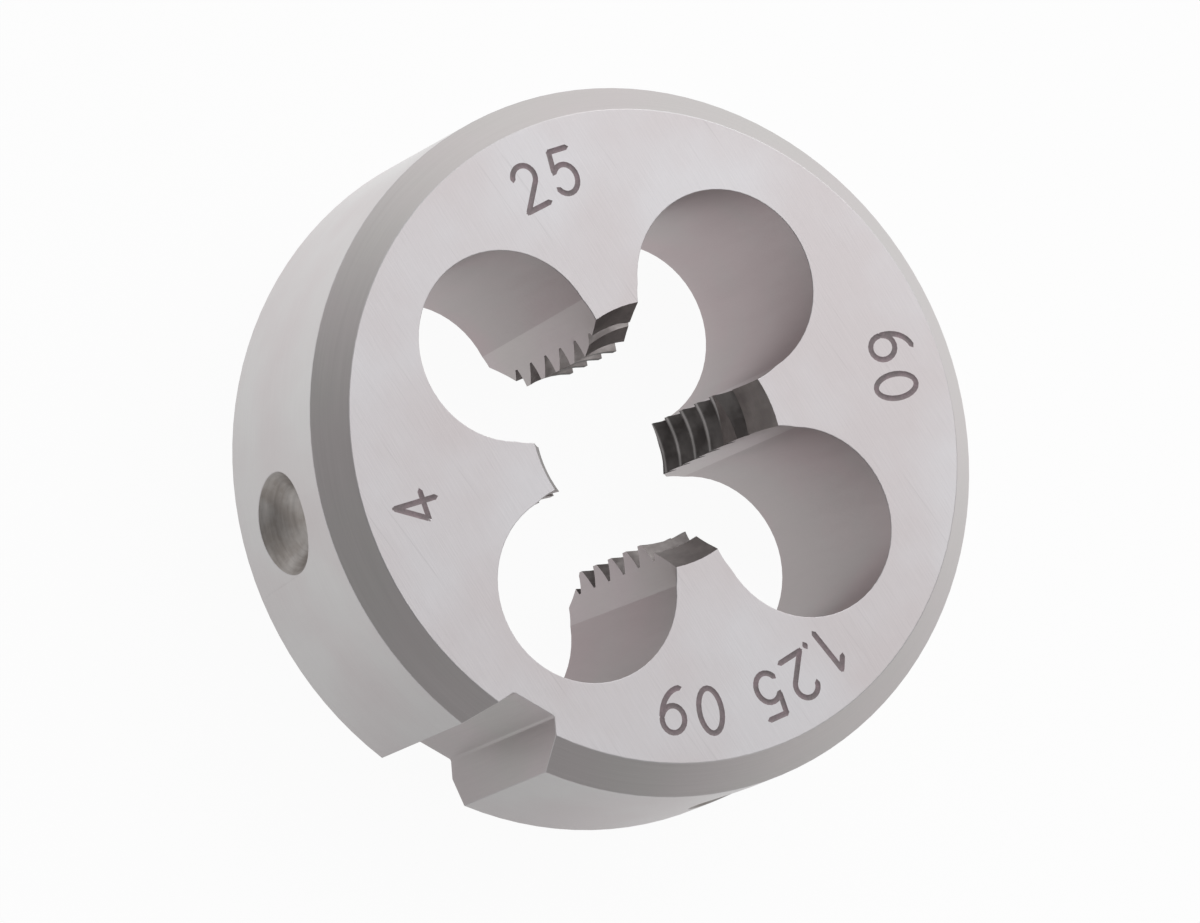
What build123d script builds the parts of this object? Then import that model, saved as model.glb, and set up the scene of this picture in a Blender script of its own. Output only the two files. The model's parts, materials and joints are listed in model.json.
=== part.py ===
from build123d import *

import os
from math import ceil, cos, radians, sin, tan

# A round threading die for an M8 coarse thread, in millimetres. It lies on its back face, which is
# the plane z = 0, and its front face looks up along +Z. The thread's axis is the Z axis.

# Body: the chamfered disc
body_diameter = 25.0
body_thickness = 9.0
chamfer_width = 1.0
front_chamfer_depth = 1.1
back_chamfer_depth = 0.85

# Thread: right-handed, with the depth of the basic 60 degree profile, and ground outside it by
# thread_clearance. A crest passes +X at crest_height.
thread_diameter = 8.0
thread_clearance = 0.16
thread_pitch = 1.25
thread_angle = 60.0
crest_height = 0.87

# Flutes: four round holes that carry the chips away and leave four lands between them
land_count = 4
flute_radius = 3.35
flute_centre_reach = 6.16

# Rakes: a cone ground into each flute, further in, which leaves the flanks of the lands hollow. It is
# a little wider at the front face than at the back.
rake_radius = 3.07
rake_back_radius = 3.03
rake_centre_reach = 5.5

# Lead: a cone at each face cuts the first teeth back, and is relieved behind the cutting edge
lead_radius = 4.6
lead_angle = 29.0
relief_shift = 0.52

# Adjusting groove: across the rim, in line with one flute
groove_floor_width = 1.66
groove_floor_reach = 10.85
groove_angle = 60.0
groove_corner_radius = 0.15

# Screw recesses: a conical one in the rim on each side of the groove
recess_diameter = 3.9
recess_angle = 90.0
recess_turn = 49.5
recess_height = 4.4

# Cutters run past what they cut by this much
overrun = 1.0

# Sizes that follow from those above
body_radius = body_diameter / 2
flute_turn = 360 / land_count / 2
groove_turn = 180 + flute_turn
major_radius = thread_diameter / 2 + thread_clearance
flank_slope = tan(radians(thread_angle / 2))
crest_width = thread_pitch / 4
root_width = thread_pitch / 8
minor_radius = major_radius - (thread_pitch - crest_width - root_width) / 2 / flank_slope
rake_slope = (rake_radius - rake_back_radius) / body_thickness


def polar(reach, turn):
    """The point at this distance from the thread's axis, this many degrees round from +X."""
    return Vector(reach * cos(radians(turn)), reach * sin(radians(turn)))


# Blank: the half section of the disc, turned about the thread's axis
with BuildPart() as blank:
    with BuildSketch(Plane.XZ):
        with BuildLine():
            Polyline(
                (0, 0),
                (body_radius - chamfer_width, 0),
                (body_radius, back_chamfer_depth),
                (body_radius, body_thickness - front_chamfer_depth),
                (body_radius - chamfer_width, body_thickness),
                (0, body_thickness),
                close=True,
            )
        make_face()
    revolve(axis=Axis.Z)

# Clover: the opening from face to face, made of the bore, the flutes and the rakes
with BuildPart() as clover:
    with BuildSketch(Plane.XY.offset(-overrun)):
        Circle(minor_radius)
        with PolarLocations(flute_centre_reach, land_count, start_angle=flute_turn):
            Circle(flute_radius)
    extrude(amount=body_thickness + 2 * overrun)
    with Locations((0, 0, -overrun)):
        with PolarLocations(rake_centre_reach, land_count, start_angle=flute_turn):
            Cone(
                bottom_radius=rake_back_radius - rake_slope * overrun,
                top_radius=rake_radius + rake_slope * overrun,
                height=body_thickness + 2 * overrun,
                align=(Align.CENTER, Align.CENTER, Align.MIN),
            )

# Tooth space: the gap between two teeth on one land, swept along the helix from one flute to the next
space_span = flute_turn
space_inner_radius = minor_radius - root_width
space_inner_width = root_width + 2 * (major_radius - space_inner_radius) * flank_slope

with BuildPart() as tooth_space:
    with BuildLine():
        Helix(thread_pitch, thread_pitch * space_span / 360, minor_radius)
    with BuildSketch(Plane.XZ):
        with BuildLine():
            Polyline(
                (space_inner_radius, -space_inner_width / 2),
                (major_radius, -root_width / 2),
                (major_radius, root_width / 2),
                (space_inner_radius, space_inner_width / 2),
                close=True,
            )
        make_face()
    sweep(is_frenet=True)

# The thread climbs from land to land, and each land's space starts half a span before the land
space_rise = thread_pitch / land_count
space_low = crest_height - thread_pitch / 2
space_count = ceil((body_thickness - space_low) / space_rise)
tooth_spaces = []
for step in range(space_count):
    turn = step * 360 / land_count - space_span / 2
    height = space_low + thread_pitch * turn / 360
    tooth_spaces.append(Location((0, 0, height), (0, 0, turn)))

# Lead cutter: the +X land's share of the front cone. The cone's axis is shifted sideways, so that the
# cone lies nearest the thread's axis at the cutting edge and falls away behind it.
lead_slope = tan(radians(lead_angle))
lead_top_radius = lead_radius + overrun * lead_slope

with BuildPart() as lead_cutter:
    with Locations((0, -relief_shift, body_thickness + overrun)):
        Cone(
            bottom_radius=0,
            top_radius=lead_top_radius,
            height=lead_top_radius / lead_slope,
            align=(Align.CENTER, Align.CENTER, Align.MAX),
        )
    with Locations((0, 0, body_thickness)):
        Box(
            flute_centre_reach,
            2 * minor_radius * sin(radians(flute_turn)),
            2 * body_thickness,
            align=(Align.MIN, Align.CENTER, Align.CENTER),
            mode=Mode.INTERSECT,
        )

# Groove cutter: a trapezoid in plan, with rounded corners at its floor
groove_reach = body_radius + overrun - groove_floor_reach
groove_mouth_width = groove_floor_width + 2 * groove_reach * tan(radians(groove_angle / 2))

with BuildPart() as groove_cutter:
    with BuildSketch(Plane.XY.offset(-overrun).rotated((0, 0, groove_turn))) as groove_plan:
        with BuildLine():
            Polyline(
                (groove_floor_reach, -groove_floor_width / 2),
                (groove_floor_reach + groove_reach, -groove_mouth_width / 2),
                (groove_floor_reach + groove_reach, groove_mouth_width / 2),
                (groove_floor_reach, groove_floor_width / 2),
                close=True,
            )
        make_face()
        fillet(groove_plan.vertices().sort_by(Axis.X)[:2], groove_corner_radius)
    extrude(amount=body_thickness + 2 * overrun)

# The die: the blank less its opening, lead, thread, groove and recesses
recess_slope = tan(radians(recess_angle / 2))
recess_depth = recess_diameter / 2 / recess_slope

with BuildPart() as round_die:
    add(blank.part)
    add(clover.part, mode=Mode.SUBTRACT)
    with PolarLocations(0, land_count):
        add(lead_cutter.part, mode=Mode.SUBTRACT)
    with Locations(Location((0, 0, body_thickness), (180, 0, 0))):
        with PolarLocations(0, land_count):
            add(lead_cutter.part, mode=Mode.SUBTRACT)
    with Locations(*tooth_spaces):
        add(tooth_space.part, mode=Mode.SUBTRACT)
    add(groove_cutter.part, mode=Mode.SUBTRACT)
    for side in (-1, 1):
        outward = polar(1, groove_turn + side * recess_turn)
        tip = outward * (body_radius - recess_depth) + Vector(0, 0, recess_height)
        with Locations(Plane(origin=tip, z_dir=outward)):
            Cone(
                bottom_radius=0,
                top_radius=(recess_depth + overrun) * recess_slope,
                height=recess_depth + overrun,
                align=(Align.CENTER, Align.CENTER, Align.MIN),
                mode=Mode.SUBTRACT,
            )

round_die.part.label = "round_die"
print("volume", round(round_die.part.volume, 1), "faces", len(round_die.part.faces()))

os.makedirs("parts", exist_ok=True)
export_step(round_die.part, "parts/round_die.step")
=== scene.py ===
# %% [markdown]
# # A round threading die
# The object is a disc of tool steel, 25 mm across and 9 mm thick, that cuts a coarse thread on an
# 8 mm rod. Its exact solid comes from the CAD model. This lesson gives it what a solid lacks: broken
# edges, numbers marked into the face, the finish that each machine left on it, and a small studio.

# %% Load the solid
import json
from math import cos, hypot, pi, radians, sin

import bpy
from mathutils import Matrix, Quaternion, Vector

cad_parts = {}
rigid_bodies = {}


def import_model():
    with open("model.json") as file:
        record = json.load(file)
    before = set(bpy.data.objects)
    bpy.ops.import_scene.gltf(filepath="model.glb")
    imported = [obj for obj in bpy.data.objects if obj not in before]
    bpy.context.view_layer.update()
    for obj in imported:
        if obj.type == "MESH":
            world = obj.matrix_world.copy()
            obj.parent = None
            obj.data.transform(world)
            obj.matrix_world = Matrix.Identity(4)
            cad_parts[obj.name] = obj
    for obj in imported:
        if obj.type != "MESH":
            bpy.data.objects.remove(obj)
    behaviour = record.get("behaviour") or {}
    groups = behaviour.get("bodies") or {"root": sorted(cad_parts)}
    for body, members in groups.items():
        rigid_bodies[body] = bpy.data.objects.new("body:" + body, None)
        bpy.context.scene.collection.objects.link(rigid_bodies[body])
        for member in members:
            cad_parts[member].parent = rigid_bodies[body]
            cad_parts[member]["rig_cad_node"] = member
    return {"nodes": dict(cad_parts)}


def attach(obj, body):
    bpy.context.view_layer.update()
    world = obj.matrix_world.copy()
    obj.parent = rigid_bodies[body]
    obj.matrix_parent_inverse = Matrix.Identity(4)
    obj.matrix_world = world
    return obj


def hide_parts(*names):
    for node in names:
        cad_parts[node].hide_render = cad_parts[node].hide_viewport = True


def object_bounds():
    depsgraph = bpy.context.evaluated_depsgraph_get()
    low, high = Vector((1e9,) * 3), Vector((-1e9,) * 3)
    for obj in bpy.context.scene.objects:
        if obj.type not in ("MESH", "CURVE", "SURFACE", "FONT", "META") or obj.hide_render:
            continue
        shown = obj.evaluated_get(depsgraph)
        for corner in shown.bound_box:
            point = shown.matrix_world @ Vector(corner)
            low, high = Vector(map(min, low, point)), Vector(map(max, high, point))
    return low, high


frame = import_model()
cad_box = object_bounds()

mm = 0.001
cad_size = [round(side / mm, 2) for side in cad_box[1] - cad_box[0]]
print("pieces:", sorted(frame["nodes"]), "box, mm:", cad_size)

# %% [markdown]
# ## The camera
# The photograph looks down on the front face from 27 degrees off its axis, through a long lens, so
# the near and far edges of the disc look nearly the same size. The camera's place, its turn and its
# lens were worked out from the outlines of the faces, the chamfers and the flutes. A tilt round the
# line of sight is part of the turn.

# %% The camera
camera_place = (-159.81 * mm, -22.58 * mm, 325.17 * mm)
camera_turn = Quaternion((0.961938, 0.066275, -0.221108, -0.146267))
bpy.ops.object.select_all(action="DESELECT")
bpy.ops.object.camera_add(location=camera_place)
camera = bpy.context.object
camera.name = "camera"
camera.rotation_mode = "QUATERNION"
camera.rotation_quaternion = camera_turn
camera.data.sensor_fit = "HORIZONTAL"
camera.data.sensor_width = 36
camera.data.lens = 308.92
camera.data.clip_start = 0.01
camera.data.clip_end = 10
bpy.context.scene.camera = camera
print("camera at", [round(side / mm) for side in camera.location], "mm")

# %% [markdown]
# ## The die's mesh
# The CAD mesh is a heap of loose triangles with sharp edges, and it may not be changed. So a copy
# stands for it. In the copy, the corners that touch are merged, and the triangles of each flat face
# are joined, which leaves clean outlines for the next steps to work on.

# %% Copy and clean the mesh
touching = 0.001 * mm
flat_within = radians(0.05)


def pick(piece):
    """Selects this object alone, and makes it the active one."""
    bpy.ops.object.select_all(action="DESELECT")
    piece.select_set(True)
    bpy.context.view_layer.objects.active = piece


pick(frame["nodes"]["round_die"])
bpy.ops.object.duplicate()
die = bpy.context.object
die.name = "die"
die.data.name = "die"
del die["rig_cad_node"]
die.data.materials.clear()
bpy.ops.object.mode_set(mode="EDIT")
bpy.ops.mesh.select_all(action="SELECT")
bpy.ops.mesh.remove_doubles(threshold=touching)
bpy.ops.mesh.customdata_custom_splitnormals_clear()
bpy.ops.mesh.dissolve_limited(angle_limit=flat_within, delimit={"NORMAL"})
bpy.ops.object.mode_set(mode="OBJECT")
print("die:", len(die.data.vertices), "corners,", len(die.data.polygons), "faces")

# %% [markdown]
# ## Zones of the die
# One piece of steel, but each surface was left by another tool: the faces by a surface grinder, the
# chamfers by a lathe, the rim by a cylindrical grinder, the flutes by a reamer, the lands by a small
# grinding wheel. Each zone gets a material of its own. The faces could be picked by hand, but there
# are thousands, and the sizes of the die are known. So a face finds its zone by where it lies and
# which way it looks.

# %% Where each zone lies
body_radius = 12.5 * mm
body_thickness = 9.0 * mm
chamfer_width = 1.0 * mm
flute_turns = [radians(turn) for turn in (45, 135, 225, 315)]
flute_centre_reach = 6.16 * mm
flute_radius = 3.35 * mm
rake_centre_reach = 5.5 * mm
rake_radius = 3.05 * mm
crest_radius = 3.4835 * mm
groove_turn = radians(225)
groove_floor_reach = 10.85 * mm
groove_half_width = 2 * mm
recess_turns = [radians(175.5), radians(274.5)]
recess_height = 4.4 * mm
recess_radius = 1.95 * mm
recess_tip_reach = body_radius - recess_radius

zones = [
    "ground_face", "turned_chamfer", "ground_rim", "reamed_flute", "ground_rake", "cut_thread",
    "thread_crest", "ground_lead", "milled_groove", "drilled_recess_1", "drilled_recess_2",
    "broken_edge", "laser_mark",
]
for name in zones:
    die.data.materials.append(bpy.data.materials.new(name))
print("zones:", len(zones))

# %% The zone of a face
# How far a face may lie off the exact place of its zone
slack = 0.03 * mm

# How far a normal rises: 0 is an upright wall, 1 is a level face
level_rise = 0.999
lead_rises = (0.4, 0.6)
wall_rise = 0.3
groove_rise = 0.1

# From this cosine on, a normal looks straight along a direction
square_on = 0.95


def in_plan(point, turn):
    """How far the point lies out along this turn from +X, and how far beside it, seen from above."""
    return point.x * cos(turn) + point.y * sin(turn), point.y * cos(turn) - point.x * sin(turn)


def zone_of(centre, normal):
    """The zone of a face of the die, from its middle and its normal."""
    reach = hypot(centre.x, centre.y)
    rise = abs(normal.z)
    if rise > level_rise and min(centre.z, body_thickness - centre.z) < slack:
        return "ground_face"

    out, aside = in_plan(centre, groove_turn)
    in_groove = out > groove_floor_reach - slack and abs(aside) < groove_half_width
    if in_groove and rise < groove_rise and reach < body_radius - slack:
        return "milled_groove"

    outward = (centre.x * normal.x + centre.y * normal.y) / reach
    for number, turn in enumerate(recess_turns, 1):
        out, aside = in_plan(centre, turn)
        off_axis = hypot(aside, centre.z - recess_height)
        if out > recess_tip_reach - slack and off_axis < recess_radius and outward < square_on:
            return f"drilled_recess_{number}"

    if reach > body_radius - chamfer_width - slack:
        return "turned_chamfer" if rise > wall_rise else "ground_rim"
    if rise < wall_rise:
        for turn in flute_turns:
            out, aside = in_plan(centre, turn)
            off_flute = abs(hypot(out - flute_centre_reach, aside) - flute_radius)
            off_rake = abs(hypot(out - rake_centre_reach, aside) - rake_radius)
            axis = Vector((cos(turn), sin(turn))) * rake_centre_reach
            inward = (axis - centre.xy).normalized().dot(normal.xy)
            if min(off_flute, off_rake) < 3 * slack and inward > square_on:
                return "reamed_flute" if off_flute < off_rake else "ground_rake"
        if abs(reach - crest_radius) < slack:
            return "thread_crest"
    return "ground_lead" if lead_rises[0] < rise < lead_rises[1] else "cut_thread"


# %% Sort the faces
for face in die.data.polygons:
    face.material_index = zones.index(zone_of(face.center, face.normal))
areas = dict.fromkeys(zones, 0)
for face in die.data.polygons:
    areas[zones[face.material_index]] += face.area / mm**2
print("area of each zone, mm2:", {name: round(area, 1) for name, area in areas.items()})

# %% [markdown]
# ## Broken edges
# Sharp edges cut hands, so a real die has them broken with a stone or a brush. The strip is only
# a few hundredths of a millimetre wide, but it catches the light as a thin line, and without it the
# disc looks like a drawing. A bevel makes it, on every edge between two zones where the steel turns
# a corner. The teeth stay sharp, because they have to cut.

# %% Break the edges
edge_break = 0.05 * mm
corner = radians(20)
toothed = {zones.index(name) for name in ("cut_thread", "thread_crest", "ground_lead")}


def zones_beside_edges():
    """The zones of the faces on both sides of each edge of the die."""
    beside = {}
    for face in die.data.polygons:
        for key in face.edge_keys:
            beside.setdefault(key, set()).add(face.material_index)
    return beside


pick(die)
bpy.ops.object.mode_set(mode="EDIT")
bpy.ops.mesh.select_mode(type="EDGE")
bpy.ops.mesh.select_all(action="DESELECT")
bpy.ops.mesh.edges_select_sharp(sharpness=corner)
bpy.ops.object.mode_set(mode="OBJECT")
beside = zones_beside_edges()
for edge in die.data.edges:
    if len(beside[edge.key]) == 1 or beside[edge.key] & toothed:
        edge.select = False
broken = sum(edge.select for edge in die.data.edges)
bpy.ops.object.mode_set(mode="EDIT")
bpy.ops.mesh.bevel(
    offset=edge_break, segments=2, affect="EDGES", clamp_overlap=True,
    material=zones.index("broken_edge"),
)
bpy.ops.object.mode_set(mode="OBJECT")
print("broken:", broken, "edges; die:", len(die.data.polygons), "faces")

# %% [markdown]
# ## Numbers in the face
# A laser draws numbers into the ground face with one thin line, and leaves a shallow dark groove with
# round ends. Type would have square ends and strokes of two widths, so each numeral is drawn here as
# a pen would draw it: as arcs and straight lines, given as shares of its height. The numbers are
# plain sizes of the die itself, read clockwise with their tops outwards: 25 across, a thread angle
# of 60, a pitch of 1.25, 9 thick, and 4 lands.

# %% Strokes of the numerals


def arc(x, y, across, up, start, end, steps=14):
    """Points on part of an ellipse, with angles in degrees anticlockwise from the right."""
    turns = [radians(start + (end - start) * step / steps) for step in range(steps + 1)]
    return [(x + across * cos(turn), y + up * sin(turn)) for turn in turns]


strokes_of = {
    "0": [arc(0, 0.5, 0.27, 0.5, 100, 460, 24)],
    "1": [[(-0.17, 0.79), (0.04, 1)], [(0.04, 1), (0.04, 0)]],
    "2": [arc(0, 0.72, 0.27, 0.28, 165, -38) + [(-0.28, 0)], [(-0.28, 0), (0.29, 0)]],
    "4": [[(0.11, 1), (-0.3, 0.3)], [(-0.3, 0.3), (0.32, 0.3)], [(0.11, 1), (0.11, 0)]],
    "5": [
        [(0.24, 1), (-0.19, 1)],
        [(-0.19, 1), (-0.23, 0.55)],
        arc(-0.01, 0.33, 0.28, 0.33, 142, -148, 18),
    ],
    "6": [arc(0.22, 0.32, 0.49, 0.68, 96, 176, 8) + arc(0, 0.3, 0.27, 0.3, 176, -184, 20)],
    ".": [[(0, 0.02), (0, 0.07)]],
}
strokes_of["9"] = [[(-x, 1 - y) for x, y in stroke] for stroke in strokes_of["6"]]
print("numerals drawn:", " ".join(sorted(strokes_of)))

# %% [markdown]
# ## Rods along the strokes
# A groove with a round bottom is what a round rod leaves when it is sunk into the face by a fraction
# of its radius. So each stroke becomes the middle line of such a rod. Its radius follows from how
# wide and how deep the groove is. At both ends it is drawn in by the groove's depth, so that the
# groove comes up to the face there.

# %% Lay the rods
numeral_height = 1.58 * mm
mark_width = 0.24 * mm
mark_depth = 0.02 * mm
rod_radius = (mark_width**2 / 4 + mark_depth**2) / (2 * mark_depth)

# A numeral, the distance of its middle from the thread's axis, and its turn in degrees from +X
numerals = [
    ("2", 9.60 * mm, 100.4), ("5", 9.64 * mm, 91.6),
    ("6", 9.78 * mm, 4.2), ("0", 9.50 * mm, 355.6),
    ("1", 9.61 * mm, 292.8), (".", 9.66 * mm, 288.9),
    ("2", 9.75 * mm, 284.2), ("5", 9.80 * mm, 276.0),
    ("0", 9.75 * mm, 262.0), ("9", 9.65 * mm, 253.6),
    ("4", 9.59 * mm, 180.6),
]
rods_curve = bpy.data.curves.new("marks", "CURVE")
rods_curve.dimensions = "3D"
rods_curve.bevel_depth = rod_radius
rods_curve.bevel_resolution = 6
rods_curve.use_fill_caps = True
for character, reach, degrees_round in numerals:
    out = Vector((cos(radians(degrees_round)), sin(radians(degrees_round)), 0))
    right = Vector((out.y, -out.x, 0))
    middle = out * reach + Vector((0, 0, body_thickness + rod_radius - mark_depth))
    for stroke in strokes_of[character]:
        line = [middle + (right * x + out * (y - 0.5)) * numeral_height for x, y in stroke]
        tip = line[0] + (line[0] - line[1]).normalized() * mark_width / 2
        end = line[-1] + (line[-1] - line[-2]).normalized() * mark_width / 2
        spline = rods_curve.splines.new("POLY")
        spline.points.add(len(line) + 1)
        for point, place in zip(spline.points, [tip] + line + [end]):
            point.co = (*place, 1)
            point.radius = 1
        for point in (spline.points[0], spline.points[-1]):
            point.radius = (rod_radius - mark_depth) / rod_radius
print("rods:", len(rods_curve.splines), "of radius, mm:", round(rod_radius / mm, 3))

# %% [markdown]
# ## Cutting them in
# A Boolean modifier takes the rods away from the steel. Its exact solver is the one that copes with
# rods that cross, as they do where two strokes meet. The cut faces take over the rods' material,
# which is how the dark laser mark gets its place.

# %% Cut the numbers
marks = bpy.data.objects.new("marks", rods_curve)
bpy.context.collection.objects.link(marks)
pick(marks)
bpy.ops.object.convert(target="MESH")
marks = bpy.context.object
marks.data.materials.clear()
for material in die.data.materials:
    marks.data.materials.append(material)
for face in marks.data.polygons:
    face.material_index = zones.index("laser_mark")

pick(die)
bpy.ops.object.modifier_add(type="BOOLEAN")
engrave = die.modifiers[-1]
engrave.operation = "DIFFERENCE"
engrave.solver = "EXACT"
engrave.use_self = True
engrave.object = marks
bpy.ops.object.modifier_apply(modifier=engrave.name)
bpy.data.objects.remove(marks)
marked = sum(face.area for face in die.data.polygons if zones[face.material_index] == "laser_mark")
print("marked area, mm2:", round(marked / mm**2, 2), "faces:", len(die.data.polygons))

# %% [markdown]
# ## A closed skin
# Where rods cross, the cut leaves a few slivers with no width. Corners that nearly touch are merged,
# which removes them, and the tiny gaps that this opens are filled. The mesh then bounds the steel
# without a gap, as a mesh must that is printed or measured.

# %% Close the skin
bpy.ops.object.mode_set(mode="EDIT")
bpy.ops.mesh.select_mode(type="VERT")
bpy.ops.mesh.select_all(action="SELECT")
bpy.ops.mesh.remove_doubles(threshold=touching)
bpy.ops.mesh.select_all(action="SELECT")
bpy.ops.mesh.fill_holes(sides=4)
bpy.ops.object.mode_set(mode="OBJECT")
faces_beside = {}
for face in die.data.polygons:
    for key in face.edge_keys:
        faces_beside[key] = faces_beside.get(key, 0) + 1
print("edges without two faces:", sum(count != 2 for count in faces_beside.values()))

# %% [markdown]
# ## Smooth shading
# The walls are round and the faces flat. Smooth shading that stops at sharp edges is right for both,
# but the narrow strips of the broken edges would pull the shading of the wide faces beside them
# askew. So their borders count as sharp too, the ground faces are shaded flat, and a weighted normal
# lets the larger face decide elsewhere.

# %% Shade it
smooth_up_to = radians(28)
bpy.ops.object.shade_smooth_by_angle(angle=smooth_up_to)
bpy.ops.object.mode_set(mode="EDIT")
bpy.ops.mesh.select_mode(type="FACE")
bpy.ops.mesh.select_all(action="DESELECT")
die.active_material_index = zones.index("ground_face")
bpy.ops.object.material_slot_select()
bpy.ops.mesh.faces_shade_flat()
bpy.ops.object.mode_set(mode="OBJECT")
beside = zones_beside_edges()
borders = 0
for edge in die.data.edges:
    if len(beside[edge.key]) == 2 and zones.index("broken_edge") in beside[edge.key]:
        edge.use_edge_sharp = True
        borders += 1
bpy.ops.object.modifier_add(type="WEIGHTED_NORMAL")
weigh = die.modifiers[-1]
weigh.mode = "FACE_AREA"
weigh.keep_sharp = True
bpy.ops.object.modifier_apply(modifier=weigh.name)
die_size = [round(side / mm, 3) for side in die.dimensions]
print("borders:", borders, "die:", len(die.data.polygons), "faces, box, mm:", die_size)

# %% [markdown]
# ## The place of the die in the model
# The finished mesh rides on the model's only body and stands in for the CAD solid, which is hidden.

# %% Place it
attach(die, "root")
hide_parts("round_die")
print("placed:", die.name)

# %% [markdown]
# ## Nodes
# A material is a small network: each node works out a value and hands it on through links. The same
# few nodes come back in every finish and in the studio. So each gets a short function that adds the
# node, links what it needs and gives back its output.

# %% Helpers for nodes


def place_on_piece(tree):
    """The place of a point on the object, in metres, from the object's own origin."""
    return tree.nodes.new("ShaderNodeTexCoord").outputs["Object"]


def axes(tree, vector):
    """The X, Y and Z of a place or a direction."""
    node = tree.nodes.new("ShaderNodeSeparateXYZ")
    tree.links.new(vector, node.inputs["Vector"])
    return node.outputs


def ramp(tree, value, between, gives):
    """A number that crosses from gives[0] to gives[1] while the value crosses from between[0] to [1]."""
    node = tree.nodes.new("ShaderNodeMapRange")
    node.inputs["From Min"].default_value = between[0]
    node.inputs["From Max"].default_value = between[1]
    node.inputs["To Min"].default_value = gives[0]
    node.inputs["To Max"].default_value = gives[1]
    tree.links.new(value, node.inputs["Value"])
    return node.outputs["Result"]


def work_out(tree, operation, *terms):
    """The result of one operation on terms that are numbers or the outputs of nodes."""
    node = tree.nodes.new("ShaderNodeMath")
    node.operation = operation
    for term, socket in zip(terms, node.inputs):
        if isinstance(term, bpy.types.NodeSocket):
            tree.links.new(term, socket)
        else:
            socket.default_value = term
    return node.outputs["Value"]


def measure(tree, operation, vector, other):
    """The number that an operation such as DISTANCE makes of a vector and a fixed other one."""
    node = tree.nodes.new("ShaderNodeVectorMath")
    node.operation = operation
    node.inputs[1].default_value = other
    tree.links.new(vector, node.inputs[0])
    return node.outputs["Value"]


def blend(tree, share, first, second):
    """A shader that goes over from the first to the second by this share."""
    node = tree.nodes.new("ShaderNodeMixShader")
    tree.links.new(share, node.inputs["Fac"])
    tree.links.new(first, node.inputs[1])
    tree.links.new(second, node.inputs[2])
    return node.outputs["Shader"]


def stretched_noise(tree, size, turned=(0, 0, 0), detail=1, roughness=0.5):
    """A noise whose blobs have this size, in metres, on axes turned by these angles."""
    stretch = tree.nodes.new("ShaderNodeMapping")
    stretch.vector_type = "TEXTURE"
    stretch.inputs["Rotation"].default_value = turned
    stretch.inputs["Scale"].default_value = size
    noise = tree.nodes.new("ShaderNodeTexNoise")
    noise.inputs["Scale"].default_value = 1
    noise.inputs["Detail"].default_value = detail
    noise.inputs["Roughness"].default_value = roughness
    tree.links.new(place_on_piece(tree), stretch.inputs["Vector"])
    tree.links.new(stretch.outputs["Vector"], noise.inputs["Vector"])
    return noise.outputs["Fac"]


# %% [markdown]
# ## Steel
# All zones are the same steel, so one helper makes their materials: a metal whose tone, roughness and
# bump come from noise stretched along the way the tool moved. Real steel isn't quite neutral either:
# it is stained pinkish here and bluish there, so a second, cloudy noise mixes two colours.

# %% A helper for machined steel
marks_middle = (0.3, 0.7)
clouds_middle = (0.38, 0.62)
gloss_spread = 0.06


def machined_steel(
    name, colour, stain, roughness, grain,
    turned=(0, 0, 0), depth=0.002 * mm, contrast=0.03, cloud=4 * mm, rim=1,
):
    """A steel of these two colours, whose tool marks have this grain on axes turned by these angles.

    The grain, the depth of the marks and the size of the clouds are in metres. The rim is the share
    of the full reflection at a grazing angle."""
    material = bpy.data.materials[name]
    material.use_nodes = True
    tree = material.node_tree
    steel = tree.nodes["Principled BSDF"]
    steel.inputs["Metallic"].default_value = 1
    steel.inputs["Specular Tint"].default_value = (rim, rim, rim, 1)
    marks = stretched_noise(tree, grain, turned, detail=4, roughness=0.6)
    clouds = stretched_noise(tree, (cloud, cloud, cloud), detail=3)

    hue = tree.nodes.new("ShaderNodeValToRGB")
    for stop, position, paint in zip(hue.color_ramp.elements, clouds_middle, (colour, stain)):
        stop.position = position
        stop.color = (*paint, 1)
    tree.links.new(clouds, hue.inputs["Fac"])
    tint = tree.nodes.new("ShaderNodeVectorMath")
    tint.name = "tint"
    tint.operation = "SCALE"
    tree.links.new(hue.outputs["Color"], tint.inputs[0])
    tone = ramp(tree, marks, between=marks_middle, gives=(1 - contrast, 1 + contrast))
    tree.links.new(tone, tint.inputs["Scale"])
    tree.links.new(tint.outputs["Vector"], steel.inputs["Base Color"])

    rough = (roughness - gloss_spread, roughness + gloss_spread)
    gloss = ramp(tree, marks, between=(0, 1), gives=rough)
    tree.links.new(gloss, steel.inputs["Roughness"])
    bump = tree.nodes.new("ShaderNodeBump")
    bump.inputs["Strength"].default_value = 1
    bump.inputs["Distance"].default_value = depth
    tree.links.new(marks, bump.inputs["Height"])
    tree.links.new(bump.outputs["Normal"], steel.inputs["Normal"])
    print("finish:", name, "of roughness", roughness)
    return material


def vary_tone(material, value, between, tones):
    """Scales the material's colour by a tone that crosses tones while the value crosses between."""
    tree = material.node_tree
    tone = ramp(tree, value, between=between, gives=tones)
    scale = tree.nodes["tint"].inputs["Scale"]
    tree.links.new(work_out(tree, "MULTIPLY", scale.links[0].from_socket, tone), scale)
    print("tone of", material.name, "from", tones[0], "to", tones[1])


# %% [markdown]
# ## The finish of each zone
# The colours started from the photograph, zone by zone, and were then set by renders in the studio
# below. The grain follows each tool: straight across the two faces, round the chamfers and the rim,
# along the flutes, rakes and groove, rings in the recesses.

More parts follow.
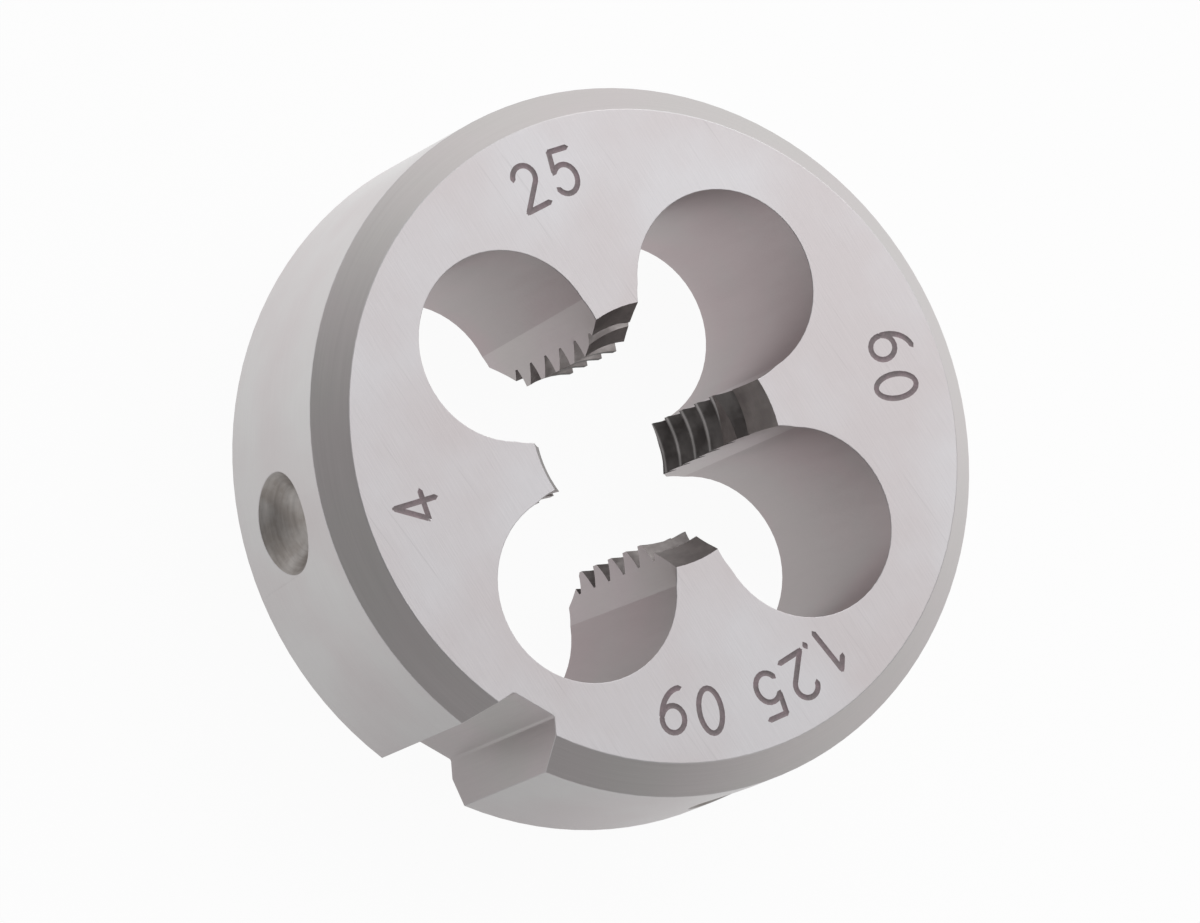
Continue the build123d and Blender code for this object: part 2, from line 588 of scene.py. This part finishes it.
# %% Faces, chamfers and rim
face_steel = machined_steel(
    "ground_face", (0.60, 0.56, 0.568), (0.638, 0.62, 0.636), roughness=0.42,
    grain=(1.4 * mm, 0.05 * mm, 1 * mm), turned=(0, 0, radians(105)), contrast=0.04, cloud=6 * mm,
)
machined_steel(
    "turned_chamfer", (0.60, 0.563, 0.563), (0.59, 0.567, 0.558), roughness=0.34,
    grain=(4 * mm, 4 * mm, 0.05 * mm),
)
rim_steel = machined_steel(
    "ground_rim", (0.605, 0.567, 0.57), (0.635, 0.622, 0.62), roughness=0.36,
    grain=(3 * mm, 3 * mm, 0.04 * mm), cloud=6 * mm,
)
machined_steel(
    "broken_edge", (0.62, 0.595, 0.60), (0.60, 0.59, 0.595), roughness=0.5,
    grain=(0.3 * mm, 0.3 * mm, 0.3 * mm),
)

# %% Flutes and rakes
machined_steel(
    "reamed_flute", (0.50, 0.432, 0.44), (0.48, 0.443, 0.442), roughness=0.50,
    grain=(0.25 * mm, 0.25 * mm, 3 * mm), cloud=5 * mm,
)
machined_steel(
    "ground_rake", (0.545, 0.488, 0.497), (0.53, 0.495, 0.49), roughness=0.45,
    grain=(0.12 * mm, 0.12 * mm, 3 * mm),
)

# %% Groove, recesses and marks
machined_steel(
    "milled_groove", (0.58, 0.535, 0.54), (0.56, 0.54, 0.53), roughness=0.45,
    grain=(0.1 * mm, 0.1 * mm, 2 * mm),
)
for number, recess_turn in enumerate(recess_turns, 1):
    machined_steel(
        f"drilled_recess_{number}", (0.345, 0.315, 0.295), (0.46, 0.435, 0.42), roughness=0.48,
        grain=(0.1 * mm, 1.5 * mm, 1.5 * mm), turned=(0, 0, recess_turn), contrast=0.16, cloud=0.9 * mm,
    )
machined_steel(
    "laser_mark", (0.29, 0.235, 0.25), (0.24, 0.21, 0.215), roughness=0.6,
    grain=(0.08 * mm, 0.08 * mm, 0.08 * mm), contrast=0.15, cloud=0.5 * mm,
)

# %% [markdown]
# ## Scratches
# A few long faint scratches cross the ground lines of the faces at a slight slant. They could be cut
# as grooves, but they have no depth to speak of. So another stretched noise makes them: where it
# peaks, the colour goes down a little.

# %% Scratch the face
scratch_length = 6 * mm
scratch_width = 0.13 * mm
scratches = stretched_noise(
    face_steel.node_tree, (scratch_length, scratch_width, 1 * mm), turned=(0, 0, radians(110))
)
vary_tone(face_steel, scratches, between=(0.68, 0.76), tones=(1, 0.92))
print("scratches, mm:", round(scratch_length / mm, 2), "by", round(scratch_width / mm, 2))

# %% [markdown]
# ## Painted light on the rim
# The rim grows paler towards both ends of the half that the camera sees, and most towards +Y. A
# brighter lamp there would spoil the face, so painted light in the steel's colour rises along X and
# Y instead. On the far half, whose middle faces 8 degrees round from +X, painted shade brings it
# back to about the plain tone.

# %% Painted light on the rim
far_way = (cos(radians(8)), sin(radians(8)), 0)
rim_place = place_on_piece(rim_steel.node_tree)
rim_axes = axes(rim_steel.node_tree, rim_place)
far_side = measure(rim_steel.node_tree, "DOT_PRODUCT", rim_place, far_way)
# painted light: paler towards +Y and towards +X; painted shade on the far half
vary_tone(rim_steel, rim_axes["Y"], between=(4 * mm, 12 * mm), tones=(1, 1.15))
vary_tone(rim_steel, rim_axes["X"], between=(-6 * mm, 2 * mm), tones=(1, 1.2))
vary_tone(rim_steel, far_side, between=(0, 3 * mm), tones=(1, 0.75))

# %% [markdown]
# ## The teeth
# The teeth are darker than the ground surfaces round them. Painted shade makes them darker still
# deep in the bore and towards -Y, and painted light a little lighter on the land at -X. Lamps could
# do that only with narrow beams, so the colour of their steel changes along the axes instead. Their
# colour is blotchy too, in clouds smaller than a tooth.

# %% Steel of the teeth
tooth_grain = (1.5 * mm, 1.5 * mm, 0.05 * mm)
lead_steel = machined_steel(
    "ground_lead", (0.36, 0.336, 0.329), (0.46, 0.433, 0.422), roughness=0.36,
    grain=(0.3 * mm, 0.3 * mm, 0.05 * mm), depth=0.004 * mm, contrast=0.06, cloud=0.8 * mm, rim=0.7,
)
thread_steel = machined_steel(
    "cut_thread", (0.24, 0.217, 0.212), (0.42, 0.388, 0.38), roughness=0.36,
    grain=tooth_grain, depth=0.004 * mm, contrast=0.06, cloud=0.7 * mm, rim=0.3,
)
crest_steel = machined_steel(
    "thread_crest", (0.36, 0.343, 0.338), (0.46, 0.437, 0.432), roughness=0.36,
    grain=tooth_grain, depth=0.004 * mm, contrast=0.06, cloud=0.7 * mm, rim=0.3,
)

# %% Painted shade and light on the teeth
for steel in (lead_steel, thread_steel, crest_steel):
    tooth_axes = axes(steel.node_tree, place_on_piece(steel.node_tree))
    # painted light on the land at -X
    vary_tone(steel, tooth_axes["X"], between=(-4.2 * mm, -2.5 * mm), tones=(1.3, 1))
    if steel != lead_steel:
        # painted shade deep in the bore and towards -Y
        vary_tone(steel, tooth_axes["Z"], between=(2 * mm, body_thickness), tones=(0.85, 1.05))
        vary_tone(steel, tooth_axes["Y"], between=(-4 * mm, 2.5 * mm), tones=(0.55, 1))

# %% [markdown]
# ## The painted highlight on the crests
# Each crest shows a thin bright line along its middle: a highlight, which is painted here. A picture
# of the line could be laid on, but no picture may be used, and a thin extra strip would flicker. So
# the crest's material works the painted highlight out: it lies where the height above the helix of
# the crests, wrapped by the pitch, is nearly nothing, and the rest of the crest is painted darker.

# %% Paint the highlight
crest_height = 0.87 * mm
thread_pitch = 1.25 * mm
highlight_half_width = 0.06 * mm
highlight_fades_at = 0.10 * mm
tree = crest_steel.node_tree
crest_axes = axes(tree, place_on_piece(tree))
turn = work_out(tree, "ARCTAN2", crest_axes["Y"], crest_axes["X"])
climb = work_out(tree, "MULTIPLY_ADD", turn, -thread_pitch / (2 * pi), crest_axes["Z"])
wrapped = work_out(
    tree, "WRAP", climb, crest_height + thread_pitch / 2, crest_height - thread_pitch / 2
)
off_highlight = work_out(tree, "ABSOLUTE", work_out(tree, "SUBTRACT", wrapped, crest_height))
# painted highlight along the crest's middle, painted shade on the rest of the crest
vary_tone(crest_steel, off_highlight, between=(highlight_half_width, highlight_fades_at), tones=(1, 0.45))
print("finishes:", len(die.data.materials))

# %% [markdown]
# ## The table
# The die lies on a plain white table. Steel shows what is round it, so most of its look is made
# here. The camera sees the table white, with only a soft shadow. In the reflections its glow is white
# behind the die and, as painted shade, greyer below it in the picture. From below it is clear, so
# that the back can be looked at. In a real studio, cards held round the die would do this. Here one
# material does it: it gives the rays from the camera, and those that the steel reflects, their own
# share of a glow.

# %% The table
table_side = 6.0
table_gap = 0.02 * mm
table_white = 0.93
camera_share = 0.95
painted_shade_spot = (-12 * mm, -14 * mm, 0)
bpy.ops.object.select_all(action="DESELECT")
bpy.ops.mesh.primitive_plane_add(size=table_side, location=(0, 0, -table_gap))
table = bpy.context.object
table.name = "table"
paper = bpy.data.materials.new("white_table")
table.data.materials.append(paper)
paper.use_nodes = True
tree = paper.node_tree
matt = tree.nodes["Principled BSDF"]
matt.inputs["Base Color"].default_value = (table_white, table_white, table_white, 1)
matt.inputs["Roughness"].default_value = 0.7
glow = tree.nodes.new("ShaderNodeEmission")
glow.inputs["Strength"].default_value = 1

place = place_on_piece(tree)
# painted shade in the table's reflected glow: darkest at this spot and towards -Y
off_spot = measure(tree, "DISTANCE", place, painted_shade_spot)
from_spot = ramp(tree, off_spot, between=(0, 28 * mm), gives=(0.43, 0.86))
from_front = ramp(tree, axes(tree, place)["Y"], between=(-26 * mm, -4 * mm), gives=(0.45, 1))
path = tree.nodes.new("ShaderNodeLightPath")
seen = work_out(tree, "MULTIPLY", path.outputs["Is Camera Ray"], camera_share)
mirrored = work_out(tree, "MULTIPLY", from_spot, from_front)
glow_share = work_out(tree, "MULTIPLY_ADD", path.outputs["Is Glossy Ray"], mirrored, seen)
upper_side = blend(tree, glow_share, matt.outputs["BSDF"], glow.outputs["Emission"])
below = tree.nodes.new("ShaderNodeNewGeometry").outputs["Backfacing"]
clear = tree.nodes.new("ShaderNodeBsdfTransparent")
both_sides = blend(tree, below, upper_side, clear.outputs["BSDF"])
tree.links.new(both_sides, tree.nodes["Material Output"].inputs["Surface"])
print("table:", table_side, "m square")

# %% [markdown]
# ## The lamps
# A large lamp close to the die, at the upper right of the picture, gives the face its slow change of
# tone, which a far lamp would not. A smaller one, further off at the lower right, lights the teeth of
# the land at +Y. Both are square and wide, because a small lamp draws hard bright spots on steel.

# %% The lamps


def soft_lamp(name, place, size, radiance):
    """A square area lamp at this place, in metres, that looks at the die."""
    bpy.ops.object.select_all(action="DESELECT")
    bpy.ops.object.light_add(type="AREA", location=place)
    lamp = bpy.context.object
    lamp.name = name
    lamp.data.shape = "SQUARE"
    lamp.data.size = size
    lamp.data.energy = radiance * pi * size**2
    aim = Vector((0, 0, body_thickness / 2)) - Vector(place)
    lamp.rotation_mode = "QUATERNION"
    lamp.rotation_quaternion = aim.to_track_quat("-Z", "Y")
    print(name, "power, W:", round(lamp.data.energy, 3))


soft_lamp("key_lamp", place=(0.145, 0.105, 0.165), size=0.24, radiance=1.02)
soft_lamp("front_lamp", place=(0.22, -0.37, 0.26), size=0.2, radiance=0.9)

# %% [markdown]
# ## The room
# The room is brightest low down behind the die, and darkest where the camera stands. A little light
# is added overhead, so that the die looks right from other sides too. A picture of a real room is
# often used here, but a few ramps over the direction will do, and the camera sees plain white.

# %% The room
light_way = (0.6, 0.78, -0.16)
camera_way = (-0.445, -0.063, 0.893)
world = bpy.data.worlds.new("studio")
bpy.context.scene.world = world
world.use_nodes = True
tree = world.node_tree
direction = tree.nodes.new("ShaderNodeTexCoord").outputs["Generated"]
toward_light = measure(tree, "DOT_PRODUCT", direction, light_way)
toward_camera = measure(tree, "DOT_PRODUCT", direction, camera_way)
nearness = ramp(tree, toward_light, between=(-0.3, 1), gives=(0, 1))
walls = ramp(tree, work_out(tree, "POWER", nearness, 2), between=(0, 1), gives=(0.31, 1.1))
ceiling = ramp(tree, axes(tree, direction)["Z"], between=(0.35, 0.55), gives=(0, 0.15))
dimmed = ramp(tree, toward_camera, between=(0.8, 0.95), gives=(1, 0.3))
level = work_out(tree, "MULTIPLY", work_out(tree, "ADD", walls, ceiling), dimmed)

room = tree.nodes["Background"]
room.inputs["Color"].default_value = (1, 1, 1, 1)
tree.links.new(level, room.inputs["Strength"])
white = tree.nodes.new("ShaderNodeBackground")
white.inputs["Color"].default_value = (1, 1, 1, 1)
seen = tree.nodes.new("ShaderNodeLightPath").outputs["Is Camera Ray"]
both = blend(tree, seen, room.outputs["Background"], white.outputs["Background"])
tree.links.new(both, tree.nodes["World Output"].inputs["Surface"])
bpy.context.scene.view_settings.view_transform = "Standard"
print("world:", world.name, "of", len(tree.nodes), "nodes")
